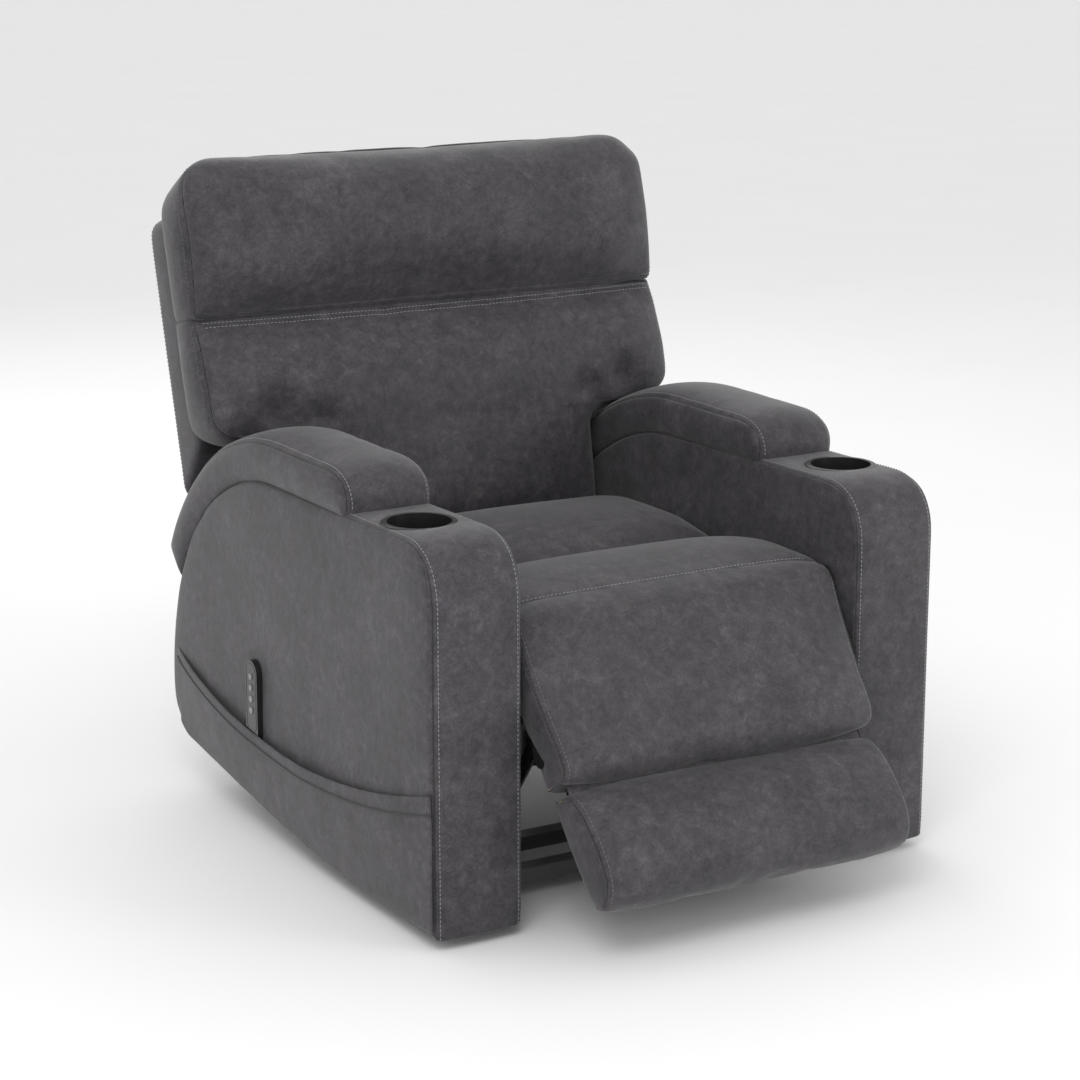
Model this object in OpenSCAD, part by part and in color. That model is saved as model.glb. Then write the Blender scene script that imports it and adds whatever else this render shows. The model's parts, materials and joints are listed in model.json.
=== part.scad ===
// Power recliner armchair with a jointed back, a two-part footrest and a remote in a side pocket.
// +Z is up, the sitter looks along -Y, the sitter's left is +X, the floor is z = 0.

/* [Seat] */
// Clear width between the two arms
seat_w = 568; // [480:1:700]
// Underside of the seat cushions above the floor
seat_z = 372; // [340:1:420]
// Height of the front seat crest above the cushion underside
crest_h = 116; // [80:1:150]
// Height of the rear seat hump above the cushion underside
hump_h = 98; // [70:1:130]
// Groove between the rear and the front seat sections, measured along Y
groove_y = -115; // [-143:1:-83]
// Rear end of the seat cushion along Y
seat_back_y = 255; // [227:1:259]

/* [Arms] */
// Width of one arm across its band and panels
arm_w = 144; // [130:1:190]
// Height of the arm top at the cup holder
arm_h = 578; // [480:1:700]
// Front face of the arms along Y
arm_front_y = -401; // [-433:1:-388]
// Rear edge of the arms along Y
arm_rear_y = 494; // [477:1:496]
// Radius of the rounded top front corner
arm_nose_r = 78; // [40:1:100]
// Place along Y where the arm top starts to curve down to the rear
arm_curve_y = 97; // [37:1:157]
// Centre height of the rear lower corner
heel_z = 171; // [140:1:200]
// Radius of the rear lower corner
heel_r = 90; // [50:1:100]
// Gap between the floor and the arm at the front
arm_floor_gap = 19; // [14:1:40]
// Thickness of the padded band around the arm
band_t = 14; // [8:1:20]
// Thickness of the upholstered side panels
panel_t = 12; // [8:1:16]
// Wall of the wooden arm box
arm_box_t = 14; // [9:1:20]
// Outward crown of the left outer panel
panel_crown = 19; // [5:1:24]
// Thickness of the arm pad
pad_t = 60; // [40:1:70]
// Front end of the arm pad along Y
pad_front_y = -146; // [-163:1:-83]
// Radius of the pad's front top corner
pad_nose_r = 34; // [10:1:38]

/* [Cup holders] */
// Bore radius of the cup holder
cup_r = 46; // [38:1:48]
// Usable depth of the cup holder
cup_depth = 68; // [45:1:80]
// Wall of the cup holder
cup_wall = 2.4; // [1.5:0.1:4]
// Radius of the rim flange
rim_r = 55; // [52:1:58]
// Thickness of the rim flange
rim_t = 3.5; // [2:0.5:6]
// Centre of the cup holders along Y
cup_y = -251; // [-263:1:-223]

/* [Side pocket and remote] */
// Depth of the pocket between panel and cloth
pocket_gap = 16.5; // [16:0.5:20]
// Thickness of the pocket cloth
pocket_t = 2.5; // [1.5:0.5:3]
// Height of the pocket's top edge at its lowest point
pocket_low_z = 163; // [150:1:180]
// Rise of the pocket's top edge towards its two ends
pocket_rise = 64; // [20:1:80]
// Width of the remote
remote_w = 42; // [34:1:48]
// Length of the remote
remote_len = 148; // [130:1:160]
// Thickness of the remote
remote_t = 15; // [12:0.5:15]
// Centre of the remote along Y
remote_y = 153; // [117:1:187]
// Height of the remote's lower end
remote_z = 140; // [135:1:145]
// Radius of a remote button
button_r = 5; // [4:0.5:6]
// Height of a button above the remote's face
button_rise = 1.5; // [1:0.1:1.5]
// Distance between neighbouring buttons
button_pitch = 18; // [14:1:19]

/* [Back] */
// Backward lean of the back at rest, in degrees
lean = 15; // [10:1:20]
// Recline hinge along Y
hinge_y = 282; // [277:1:297]
// Length of the back from the hinge to the cushion top
back_len = 697; // [600:1:800]
// Half of the width of the back cushion above the arms
back_half_w = 425; // [380:1:440]
// Height of the seam between head and lumbar cushion above the hinge
back_seam = 440; // [380:1:480]
// Depth from the hinge plane to the rear face of the shell
shell_depth = 170; // [160:1:190]
// Half of the width of the rear shell
shell_half_w = 398; // [340:1:420]
// Length of the shell above the hinge
shell_len = 620; // [560:1:660]
// Wall of the rear shell
shell_t = 12; // [6:1:16]

/* [Footrest] */
// Angle of the upper footrest pad below horizontal at rest, in degrees
footrest_angle = 55; // [50:1:60]
// Extra upward angle of the flip pad at rest, in degrees
flip_angle = 8; // [5:1:9]
// Footrest pivot along Y
pivot_y = -343; // [-353:1:-338]
// Footrest pivot height
pivot_z = 437; // [430:1:445]
// Distance from the pivot to the flip hinge along the footrest
flip_dist = 241.4; // [220:0.1:245]
// Length of the flip pad beyond its hinge
flip_len = 182; // [140:1:185]
// Half of the width of the footrest pads
footrest_half_w = 262; // [200:1:262]
// Thickness of the footrest pads
footrest_pad_t = 47; // [35:1:50]
// Thickness of the footrest boards
board_t = 12; // [9:1:15]

/* [Mechanism] */
// Thickness of links, brackets and side plates
link_t = 4; // [3:0.5:4]
// Width of a link
link_w = 24; // [18:1:28]
// Radius of the link pins
pin_r = 5; // [4:0.5:6]
// Outer radius of the torque tube
torque_r = 11; // [9:1:14]
// Running clearance of pins and shafts
run_gap = 0.05; // [0.02:0.01:0.1]
// Clearance of the open pivots of the linkage
open_gap = 0.5; // [0.3:0.1:1]
// Height of the base rails and cross tubes
rail_h = 22; // [18:1:30]
// Wall of the tubes
tube_t = 2; // [1.5:0.5:3]
// Height of the floor glides
glide_h = 14; // [8:1:18]
// Radius of the floor glides
glide_r = 16; // [12:1:20]

/* [Hidden] */
$fn = 48;
eps = 0.02;
// Half of the clear seat width, and the arm layers outwards from it
seat_half = seat_w / 2;
arm_out = seat_half + arm_w;
inner_x1 = seat_half + panel_t;
outer_x0 = arm_out - panel_t;
cup_x = seat_half + 80;
// Rear quarter ellipse of the arm and of the arm pad on it
arm_rear_z = arm_h - 8;
ell_y = arm_rear_y - arm_curve_y;
ell_z = arm_rear_z - heel_z;
sole_y = -39;
sole_rise = 7;
pad_end_angle = 28;
// Layers of the mechanism along X, measured from the arm's inner face inwards
plate_x = seat_half - 14;
bracket_x = plate_x - 6;
body_half = bracket_x - 2;
idler_x = plate_x - 20;
coupler_x = idler_x - 5;
crank_x = coupler_x - 5;
// Recline hinge and the back's own frame; the wings of the back clear the arm pads by wing_gap
hinge_z = seat_z - 22;
arm_rail_h = 40;
bolt_r = 4;
cushion_back_u = 64;
cushion_front_u = -62;
wing_gap = 5;
wing_w = wing_height(cushion_front_u, 200, 6);
shell_front_u = 76;
shell_foot_w = wing_w + 20;
shell_low_w = shell_foot_w - 84;
rear_u = shell_depth - shell_t;
post_u = 70;
post_d = 36;
post_w = 25;
post_len = 590;
back_pin_r = 7;
// Footrest: parallelogram of pivot, torque tube, crank and coupler
pad_front = 12;
pad_back = pad_front - footrest_pad_t;
board_back = pad_back - 0.5 - board_t;
flip_back = board_back - 9.5;
flip_gap = 12;
board_top = 46;
nose_r = 18;
tube_dy = 150;
tube_dz = -200;
torque_y = pivot_y + tube_dy;
torque_z = pivot_z + tube_dz;
lug_along = 150;
lug_off = board_back - link_w / 2 - 1;
ear_x = footrest_half_w - 42;
crank_y = -lug_along * cos(footrest_angle) - lug_off * sin(footrest_angle);
crank_z = -lug_along * sin(footrest_angle) + lug_off * cos(footrest_angle);
idler_y = torque_y - tube_dy / 2;
idler_z = torque_z - tube_dz / 2;
// Slotted lever and actuator rod
lever_h = 45;
lever_tilt = 9.5;
rod_r = 9;
lever_shift = 8.8;
lever_x = rod_r + 1;
rod_z = torque_z - lever_h;
rod_y = torque_y + lever_shift;
rod_pin_r = 4;
slot_half = rod_pin_r + 2.4;
rod_len = 146;
tube_front_y = rod_y + 56;
tube_len = 145;
gear_y = tube_front_y + tube_len;
// Base
rail_w = 26;
rail_z = glide_h;
rail_top = rail_z + 30;
rail_front_y = -281;
rail_rear_y = 417;
tube_z = rail_z + 10;
cross_front_y = -281;
cross_mid_y = -163;
cross_rear_y = 337;
cross_d = 28;
seat_rail_front_y = -238;
seat_rail_rear_y = 217;
seat_rail_d = 25;
leg_front_y = -133;
leg_rear_y = 187;
leg_d = 40;
// Pocket and remote places on the right arm
pocket_mid_y = 27;
pocket_half = 428;
button_top_z = remote_z + remote_len - 26;

// Points on an arc or an ellipse from angle a0 to a1, in n steps
function arc(cy, cz, ry, rz, a0, a1, n) =
    [for (k = [0:n]) let (a = a0 + (a1 - a0) * k / n) [cy + ry * cos(a), cz + rz * sin(a)]];

// Side outline of the arm, moved inwards by i
function arm_outline(i) = concat(
    [[arm_front_y + i, arm_floor_gap + i]],
    arc(arm_front_y + arm_nose_r, arm_h - arm_nose_r, arm_nose_r - i, arm_nose_r - i, 180, 90, 8),
    arc(arm_curve_y, heel_z, ell_y - i, ell_z - i, 90, 0, 16),
    arc(arm_rear_y - heel_r, heel_z, heel_r - i, heel_r - i, -9, -90, 6),
    [[sole_y, arm_floor_gap + sole_rise + i]]);

// Side outline of the arm pad before the arm is taken away from it
function pad_outline() = concat(
    [[pad_front_y, arm_h - band_t]],
    arc(pad_front_y + pad_nose_r, arm_rear_z + pad_t - pad_nose_r, pad_nose_r, pad_nose_r, 180, 90, 6),
    arc(arm_curve_y, heel_z, ell_y + pad_t, ell_z + pad_t, 90, pad_end_angle, 16),
    [[arm_curve_y + (ell_y - band_t) * cos(pad_end_angle - 3),
        heel_z + (ell_z - band_t) * sin(pad_end_angle - 3)]]);

// Height of the arm pad's top surface at place y
function pad_top(y) = y < arm_curve_y ? arm_rear_z + pad_t
    : heel_z + (ell_z + pad_t) * sqrt(1 - pow((y - arm_curve_y) / (ell_y + pad_t), 2));

// Height w in the back's frame at depth u that is wing_gap above the arm pad, found in n steps
function wing_height(u, w, n) = n == 0 ? w
    : wing_height(u, (pad_top(hinge_y + u * cos(lean) + w * sin(lean)) + wing_gap - hinge_z
        + u * sin(lean)) / cos(lean), n - 1);

// Height of the shell's lower edge at depth u
function foot_line(u) = shell_foot_w
    + (shell_low_w - shell_foot_w) * (u - shell_front_u) / (shell_depth - shell_front_u);

// Height of the pocket's top edge at place y
function pocket_top(y) = pocket_low_z + pocket_rise * pow((y - pocket_mid_y) / pocket_half, 2);

// Zigzag ribbon of n waves, of length len, half width amp and ribbon width w, as one closed outline
function wave(n, len, amp, t) = [len * t, amp * sin(360 * n * t)];
function ribbon(n, len, amp, w) = concat(
    [for (k = [0:n * 12]) wave(n, len, amp, k / (n * 12)) + [0, w / 2]],
    [for (k = [n * 12:-1:0]) wave(n, len, amp, k / (n * 12)) - [0, w / 2]]);

// Extrudes a (y, z) outline along X from x0 to x1
module slab(x0, x1) {
    translate([x0, 0, 0]) rotate([90, 0, 90]) linear_extrude(height = x1 - x0) children();
}

// Cylinder along X
module rod_x(x0, x1, r, y, z) {
    translate([x0, y, z]) rotate([0, 90, 0]) cylinder(h = x1 - x0, r = r);
}

// Flat bar of thickness t with round ends of diameter w, from (y0, z0) to (y1, z1)
module bar(x, t, w, y0, z0, y1, z1) {
    a = atan2(z1 - z0, y1 - y0);
    slab(x, x + t) polygon(concat(
        arc(y1, z1, w / 2, w / 2, a - 90, a + 90, 14),
        arc(y0, z0, w / 2, w / 2, a + 90, a + 270, 14)));
}

// Rectangular tube along X
module tube_x(x, y, d, z, h) {
    difference() {
        translate([-x, y, z]) cube([2 * x, d, h]);
        translate([-x - 1, y + tube_t, z + tube_t]) cube([2 * x + 2, d - 2 * tube_t, h - 2 * tube_t]);
    }
}

// Child on the left (+X) or mirrored to the right
module on_side(left) {
    if (left) children();
    else mirror([1, 0, 0]) children();
}

// Child on both sides
module pair() {
    children();
    mirror([1, 0, 0]) children();
}

// The back's own frame: u to the rear, w up along the back
module back_place() {
    translate([0, hinge_y, hinge_z]) rotate([-lean, 0, 0]) children();
}

// The footrest's own frame: -y along the footrest, +z out of its padded face
module footrest_place() {
    translate([0, pivot_y, pivot_z]) rotate([footrest_angle, 0, 0]) children();
}

// The flip pad's own frame, at the flip hinge
module flip_place() {
    footrest_place() translate([0, -flip_dist, flip_back]) rotate([-flip_angle, 0, 0]) children();
}

// ---- Base ----

module base_rails() {
    color("dimgray") pair() difference() {
        translate([seat_half - rail_w, rail_front_y, rail_z])
            cube([rail_w, rail_rear_y - rail_front_y, rail_top - rail_z]);
        translate([seat_half - rail_w + tube_t, rail_front_y - 1, rail_z + tube_t])
            cube([rail_w - 2 * tube_t, rail_rear_y - rail_front_y + 2, rail_top - rail_z - 2 * tube_t]);
    }
}

module cross_tubes() {
    color("dimgray") for (y = [cross_front_y, cross_mid_y, cross_rear_y])
        tube_x(seat_half - rail_w, y, cross_d, tube_z, rail_h);
}

module floor_glides() {
    color("black") pair() for (y = [rail_front_y + 2 * glide_r, rail_rear_y - 2 * glide_r])
        translate([seat_half - rail_w / 2, y, 0]) cylinder(h = glide_h, r = glide_r);
}

// ---- Arms ----

module cup_hole() {
    translate([cup_x, cup_y, arm_h - cup_depth - cup_wall - 1])
        cylinder(h = cup_depth + cup_wall + 20, r = cup_r + cup_wall + run_gap);
}

module bolt_holes(r) {
    for (y = [leg_front_y, leg_rear_y]) rod_x(plate_x - 1, seat_half + 60, r, y, hinge_z);
}

// Wooden ring under the band, with a rail across it that takes the bolts
module arm_frame(left) {
    color("burlywood") on_side(left) difference() {
        slab(inner_x1, outer_x0) polygon(arm_outline(band_t));
        difference() {
            slab(inner_x1 - 1, outer_x0 + 1) polygon(arm_outline(band_t + arm_box_t));
            translate([inner_x1 - 2, arm_front_y, hinge_z - arm_rail_h / 2])
                cube([outer_x0 - inner_x1 + 4, arm_rear_y - arm_front_y, arm_rail_h]);
        }
        cup_hole();
        bolt_holes(bolt_r);
    }
}

// The left outer panel is crowned, the right one is flat behind the side pocket
module arm_outer_panel(left) {
    color("gray") on_side(left) {
        slab(outer_x0, arm_out) polygon(arm_outline(0));
        if (left) hull() {
            slab(arm_out, arm_out + eps) polygon(arm_outline(6));
            slab(arm_out + 0.7 * panel_crown, arm_out + 0.7 * panel_crown + eps) polygon(arm_outline(40));
            slab(arm_out + panel_crown - eps, arm_out + panel_crown) polygon(arm_outline(76));
        }
    }
}

module arm_inner_panel(left) {
    color("gray") on_side(left) difference() {
        slab(seat_half, inner_x1) polygon(arm_outline(0));
        bolt_holes(bolt_r);
    }
}

module arm_band(left) {
    color("dimgray") on_side(left) difference() {
        slab(inner_x1, outer_x0) polygon(arm_outline(0));
        slab(inner_x1 - 1, outer_x0 + 1) polygon(arm_outline(band_t));
        cup_hole();
    }
}

module arm_pad(left) {
    color("slategray") on_side(left) difference() {
        slab(seat_half, arm_out) polygon(pad_outline());
        slab(seat_half - 1, arm_out + 1) polygon(arm_outline(0));
    }
}

module cup_holder(left) {
    color("black") on_side(left) translate([cup_x, cup_y, arm_h]) rotate_extrude($fn = 96) polygon([
        [0, -cup_depth - cup_wall], [cup_r + cup_wall, -cup_depth - cup_wall], [cup_r + cup_wall, 0],
        [rim_r, 0], [rim_r - 1, rim_t - 1], [rim_r - 3, rim_t], [cup_r, rim_t],
        [cup_r, -cup_depth], [0, -cup_depth]]);
}

// Cloth pocket along the whole right arm, open at the top
module side_pocket() {
    y0 = arm_front_y + 14;
    y1 = pocket_mid_y + pocket_half;
    gap_x = arm_out + pocket_gap;
    color("gray") mirror([1, 0, 0]) intersection() {
        difference() {
            linear_extrude(height = arm_h) polygon([[arm_out, y0], [gap_x + pocket_t, y0 + 70],
                [gap_x + pocket_t, y1 - 70], [arm_out, y1]]);
            translate([0, 0, -1]) linear_extrude(height = arm_h + 2) polygon([
                [arm_out - 1, y0 + 8], [arm_out, y0 + 8], [gap_x, y0 + 74], [gap_x, y1 - 74],
                [arm_out, y1 - 8], [arm_out - 1, y1 - 8]]);
        }
        slab(arm_out, gap_x + 2 * pocket_t) polygon(pocket_face(0));
    }
    color("gray") mirror([1, 0, 0]) intersection() {
        linear_extrude(height = arm_h) polygon([[arm_out, y0 + 8], [gap_x, y0 + 74],
            [gap_x, y1 - 74], [arm_out, y1 - 8]]);
        difference() {
            slab(arm_out, gap_x) polygon(pocket_face(0));
            slab(arm_out - 1, gap_x + 1) polygon(pocket_face(10));
        }
    }
}

// Side outline of the pocket; its lower edge follows the arm and lies i above it
function pocket_face(i) = concat(
    [[arm_front_y, arm_floor_gap + 6 + i], [sole_y, arm_floor_gap + sole_rise + 4 + i],
        [arm_rear_y - heel_r, heel_z - heel_r + 4 + i], [arm_rear_y - 24, heel_z - 30 + i]],
    [for (k = [0:16]) let (y = arm_rear_y - (arm_rear_y - arm_front_y) * k / 16)
        [y, pocket_top(y) + (i > 0 ? 60 : 0)]]);

module arm_bolts() {
    color("silver") pair() for (y = [leg_front_y, leg_rear_y]) {
        rod_x(plate_x - 4, plate_x, bolt_r + 3, y, hinge_z);
        rod_x(plate_x, seat_half + 40, bolt_r - run_gap, y, hinge_z);
    }
}

// ---- Seat structure ----

module side_plate(left) {
    color("black") on_side(left) difference() {
        union() {
            bar(plate_x, link_t, 34, pivot_y, pivot_z, torque_y, torque_z);
            bar(plate_x, link_t, 44, idler_y, hinge_z, hinge_y, hinge_z);
        }
        rod_x(plate_x - 1, plate_x + link_t + 1, pin_r + 1, pivot_y, pivot_z);
        rod_x(plate_x - 1, plate_x + link_t + 1, pin_r, idler_y, idler_z);
        rod_x(plate_x - 1, plate_x + link_t + 1, pin_r + 2 + run_gap, torque_y, torque_z);
        rod_x(plate_x - 1, plate_x + link_t + 1, back_pin_r, hinge_y, hinge_z);
        bolt_holes(bolt_r);
    }
}

module plate_legs() {
    color("black") pair() for (y = [leg_front_y, leg_rear_y])
        translate([plate_x, y - leg_d / 2, rail_top]) cube([link_t, leg_d, hinge_z - 22 - rail_top]);
}

module seat_rails() {
    color("dimgray") for (y = [seat_rail_front_y, seat_rail_rear_y])
        tube_x(plate_x, y, seat_rail_d, hinge_z - 15, seat_z - 2 - hinge_z + 15);
}

module seat_springs() {
    len = seat_rail_rear_y - seat_rail_front_y - seat_rail_d;
    color("silver") for (x = [-2:2])
        translate([x * body_half * 0.36, seat_rail_front_y + seat_rail_d, seat_z - 6])
            rotate([0, 0, 90]) linear_extrude(height = 4) polygon(ribbon(7, len, 20, 5));
}

module seat_cushion_rear() {
    color("slategray") slab(-body_half - 4, body_half + 4) polygon([
        [groove_y + 1, seat_z], [seat_back_y, seat_z], [seat_back_y, seat_z + 0.62 * hump_h],
        [seat_back_y - 30, seat_z + 0.82 * hump_h], [seat_back_y - 110, seat_z + hump_h],
        [groove_y + 130, seat_z + hump_h], [groove_y + 50, seat_z + 0.9 * hump_h],
        [groove_y + 12, seat_z + 0.76 * hump_h], [groove_y + 1, seat_z + 0.64 * hump_h]]);
}

// Front seat section, its nose is round about the footrest pivot
module seat_cushion_front() {
    color("slategray") slab(-body_half, body_half) polygon(concat(
        [[groove_y - 1, seat_z], [pivot_y + 52, seat_z], [pivot_y + 44, pivot_z - 14]],
        arc(pivot_y, pivot_z, nose_r, nose_r, 270, 60, 12),
        [[pivot_y + 34, seat_z + 0.83 * crest_h], [pivot_y + 62, seat_z + 0.96 * crest_h],
            [pivot_y + 95, seat_z + crest_h], [pivot_y + 135, seat_z + 0.97 * crest_h],
            [groove_y - 50, seat_z + 0.86 * crest_h], [groove_y - 12, seat_z + 0.68 * crest_h],
            [groove_y - 1, seat_z + 0.56 * crest_h]]));
}

// ---- Actuator and power ----

module actuator_tube() {
    color("silver") difference() {
        translate([0, tube_front_y, rod_z]) rotate([-90, 0, 0]) cylinder(h = tube_len, r = rod_r + 6);
        translate([0, tube_front_y - 1, rod_z]) rotate([-90, 0, 0])
            cylinder(h = tube_len - 9, r = rod_r + run_gap);
    }
}

module actuator_motor() {
    color("black") {
        translate([-30, gear_y, rod_z - 30]) cube([60, 60, 60]);
        translate([0, gear_y + 30, rod_z - 110]) cylinder(h = 80, r = 26);
    }
}

module motor_bracket() {
    color("dimgray") {
        translate([-25, gear_y, rod_z + 30]) cube([50, seat_rail_rear_y + seat_rail_d - gear_y, link_t]);
        translate([-25, seat_rail_rear_y + seat_rail_d - link_t, rod_z + 30])
            cube([50, link_t, hinge_z - 15 - rod_z - 30]);
    }
}

module power_supply() {
    color("black") translate([-80, cross_rear_y - 16, tube_z + rail_h]) cube([160, 60, 46]);
}

module power_inlet() {
    color("dimgray") translate([0, cross_rear_y + 44, tube_z + rail_h + 23]) rotate([-90, 0, 0])
        difference() {
            cylinder(h = 9, r = 7);
            translate([0, 0, 1]) cylinder(h = 9, r = 2.8);
        }
}

// Pins held by the side plates: footrest pivots, idler pivots and recline hinges
module hinge_pins() {
    color("silver") pair() {
        rod_x(bracket_x - 1.5, plate_x + link_t + 2, pin_r + 1, pivot_y, pivot_z);
        rod_x(idler_x - 2, plate_x + link_t + 2, pin_r, idler_y, idler_z);
        rod_x(bracket_x - 1.5, plate_x + link_t + 2, back_pin_r, hinge_y, hinge_z);
    }
}

// ---- Footrest linkage ----

module torque_tube() {
    color("dimgray") {
        rod_x(-plate_x + 1, plate_x - 1, torque_r, torque_y, torque_z);
        rod_x(-plate_x - link_t - 2, plate_x + link_t + 2, pin_r + 2, torque_y, torque_z);
    }
}

module crank_links() {
    color("black") pair() difference() {
        bar(crank_x, link_t, link_w + 8, torque_y, torque_z, torque_y + crank_y, torque_z + crank_z);
        rod_x(crank_x - 1, crank_x + link_t + 1, torque_r, torque_y, torque_z);
        rod_x(crank_x - 1, crank_x + link_t + 1, pin_r + run_gap, torque_y + crank_y, torque_z + crank_z);
    }
}

module slotted_lever() {
    slot_0 = lever_h - 2;
    slot_1 = lever_h / cos(45) + 2;
    color("black") pair() difference() {
        bar(lever_x, link_t, 34, torque_y, torque_z, torque_y + (slot_1 + 2) * sin(lever_tilt),
            torque_z - (slot_1 + 2) * cos(lever_tilt));
        rod_x(lever_x - 1, lever_x + link_t + 1, torque_r, torque_y, torque_z);
        bar(lever_x - 1, link_t + 2, 2 * slot_half, torque_y + slot_0 * sin(lever_tilt),
            torque_z - slot_0 * cos(lever_tilt), torque_y + slot_1 * sin(lever_tilt),
            torque_z - slot_1 * cos(lever_tilt));
    }
}

module actuator_rod() {
    color("silver") {
        rod_x(-lever_x + 0.6, lever_x - 0.6, 13, rod_y, rod_z);
        rod_x(-lever_x - link_t - 3, lever_x + link_t + 3, rod_pin_r, rod_y, rod_z);
        translate([0, rod_y, rod_z]) rotate([-90, 0, 0]) cylinder(h = rod_len, r = rod_r);
    }
}

module coupler_links() {
    y0 = torque_y + crank_y;
    z0 = torque_z + crank_z;
    color("black") pair() difference() {
        bar(coupler_x, link_t, link_w, y0, z0, pivot_y + crank_y, pivot_z + crank_z);
        for (k = [0, 0.5, 1])
            rod_x(coupler_x - 1, coupler_x + link_t + 1, pin_r, y0 - k * tube_dy, z0 - k * tube_dz);
    }
}

module coupler_pins() {
    y0 = torque_y + crank_y;
    z0 = torque_z + crank_z;
    color("silver") pair() {
        rod_x(crank_x - 2, coupler_x + link_t + 1, pin_r, y0, z0);
        rod_x(coupler_x - 1, idler_x + link_t + 2, pin_r, y0 - tube_dy / 2, z0 - tube_dz / 2);
        rod_x(crank_x - 2, coupler_x + link_t + 1, pin_r, y0 - tube_dy, z0 - tube_dz);
    }
}

module idler_links() {
    color("black") pair() difference() {
        bar(idler_x, link_t, link_w, idler_y, idler_z, idler_y + crank_y, idler_z + crank_z);
        rod_x(idler_x - 1, idler_x + link_t + 1, pin_r + run_gap, idler_y, idler_z);
        rod_x(idler_x - 1, idler_x + link_t + 1, pin_r + open_gap, idler_y + crank_y, idler_z + crank_z);
    }
}

// ---- Footrest ----

module footrest_board() {
    color("burlywood") footrest_place() translate([-bracket_x, -flip_dist + flip_gap, board_back])
        cube([2 * bracket_x, flip_dist - flip_gap - board_top, board_t]);
}

module footrest_pad() {
    color("slategray") footrest_place() translate([-footrest_half_w, -flip_dist + flip_gap, pad_back])
        cube([2 * footrest_half_w, flip_dist - flip_gap - nose_r - 3, footrest_pad_t]);
}

module footrest_brackets() {
    color("black") pair() footrest_place() difference() {
        bar(bracket_x, link_t, 28, 0, 0, -185, board_back + 8);
        rod_x(bracket_x - 1, bracket_x + link_t + 1, pin_r + 1 + run_gap, 0, 0);
    }
}

// Lugs for the coupler and ears with pins for the flip hinge, fixed to the board's rear face
module footrest_lugs() {
    color("black") pair() footrest_place() {
        difference() {
            union() {
                rod_x(crank_x, crank_x + link_t, link_w / 2, -lug_along, lug_off);
                translate([crank_x, -lug_along - 20, lug_off + 2])
                    cube([link_t, 40, board_back - lug_off - 2]);
            }
            rod_x(crank_x - 1, crank_x + link_t + 1, pin_r + open_gap, -lug_along, lug_off);
        }
        rod_x(ear_x, ear_x + link_t, 9, -flip_dist, flip_back);
        translate([ear_x, -flip_dist, flip_back]) cube([link_t, 44, board_back - flip_back]);
        rod_x(ear_x, ear_x + 2 * link_t + 3, 4, -flip_dist, flip_back);
    }
}

module flip_board() {
    color("burlywood") flip_place()
        translate([-footrest_half_w + 4, -flip_len + 8, board_back - flip_back])
            cube([2 * footrest_half_w - 8, flip_len - 8 - flip_gap, board_t]);
}

module flip_pad() {
    color("slategray") flip_place() translate([-footrest_half_w, -flip_len, pad_back - flip_back])
        cube([2 * footrest_half_w, flip_len - flip_gap, footrest_pad_t]);
}

module flip_arms() {
    color("black") pair() flip_place() difference() {
        union() {
            rod_x(ear_x + link_t + 1, ear_x + 2 * link_t + 1, 9, 0, 0);
            translate([ear_x + link_t + 1, -90, -4]) cube([link_t, 90, board_back - flip_back + 4]);
        }
        rod_x(ear_x + link_t, ear_x + 2 * link_t + 2, 4 + run_gap, 0, 0);
    }
}

// ---- Back ----

module back_post(left) {
    color("burlywood") on_side(left) back_place()
        translate([bracket_x - post_w, post_u, -30]) cube([post_w, post_d, post_len + 30]);
}

module back_rails() {
    color("burlywood") back_place() {
        translate([-shell_half_w + shell_t, post_u + post_d, post_len - 40])
            cube([2 * (shell_half_w - shell_t), 20, 40]);
        translate([-shell_half_w + shell_t, post_u + post_d, wing_w + 80])
            cube([2 * (shell_half_w - shell_t), 20, 40]);
        translate([-bracket_x, post_u + post_d, 10]) cube([2 * bracket_x, 20, 40]);
    }
}

module back_springs() {
    len = post_len - 100;
    color("silver") back_place() for (x = [-1.5:1:1.5])
        translate([x * body_half * 0.42, post_u + post_d - 5, 55])
            rotate([0, -90, -90]) linear_extrude(height = 4) polygon(ribbon(7, len, 20, 5));
}

// Wide above the arms, narrow between them
module lumbar_cushion() {
    color("slategray") back_place() intersection() {
        slab(-back_half_w, back_half_w) polygon([
            [cushion_back_u, back_seam - 1], [-36, back_seam - 1], [-50, back_seam - 40],
            [-60, back_seam - 110], [cushion_front_u, wing_w + 10], [-50, 0.52 * wing_w],
            [-32, 40], [-20, 24],
            [cushion_back_u - 14, 24], [cushion_back_u, 40]]);
        rotate([90, 0, 0]) translate([0, 0, -200]) linear_extrude(height = 400) polygon([
            [-body_half, 0], [body_half, 0], [body_half, wing_w + 6], [back_half_w - 60, wing_w],
            [back_half_w - 18, wing_w + 14], [back_half_w, wing_w + 70], [back_half_w, back_seam],
            [-back_half_w, back_seam], [-back_half_w, wing_w + 70], [-back_half_w + 18, wing_w + 14],
            [-back_half_w + 60, wing_w], [-body_half, wing_w + 6]]);
    }
}

module head_cushion() {
    color("slategray") back_place() intersection() {
        slab(-back_half_w, back_half_w) polygon([
            [cushion_back_u, back_seam + 1], [-36, back_seam + 1], [-56, back_seam + 40],
            [-66, back_seam + 120], [-64, back_len - 60], [-50, back_len - 18], [-22, back_len],
            [24, back_len - 6], [52, back_len - 24], [cushion_back_u, back_len - 60]]);
        rotate([90, 0, 0]) translate([0, 0, -200]) linear_extrude(height = 400) polygon(concat(
            [[-back_half_w, back_seam], [back_half_w, back_seam]],
            arc(back_half_w - 50, back_len - 56, 50, 50, 0, 80, 6), [[0, back_len + 1]],
            arc(-back_half_w + 50, back_len - 56, 50, 50, 100, 180, 6)));
    }
}

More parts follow.
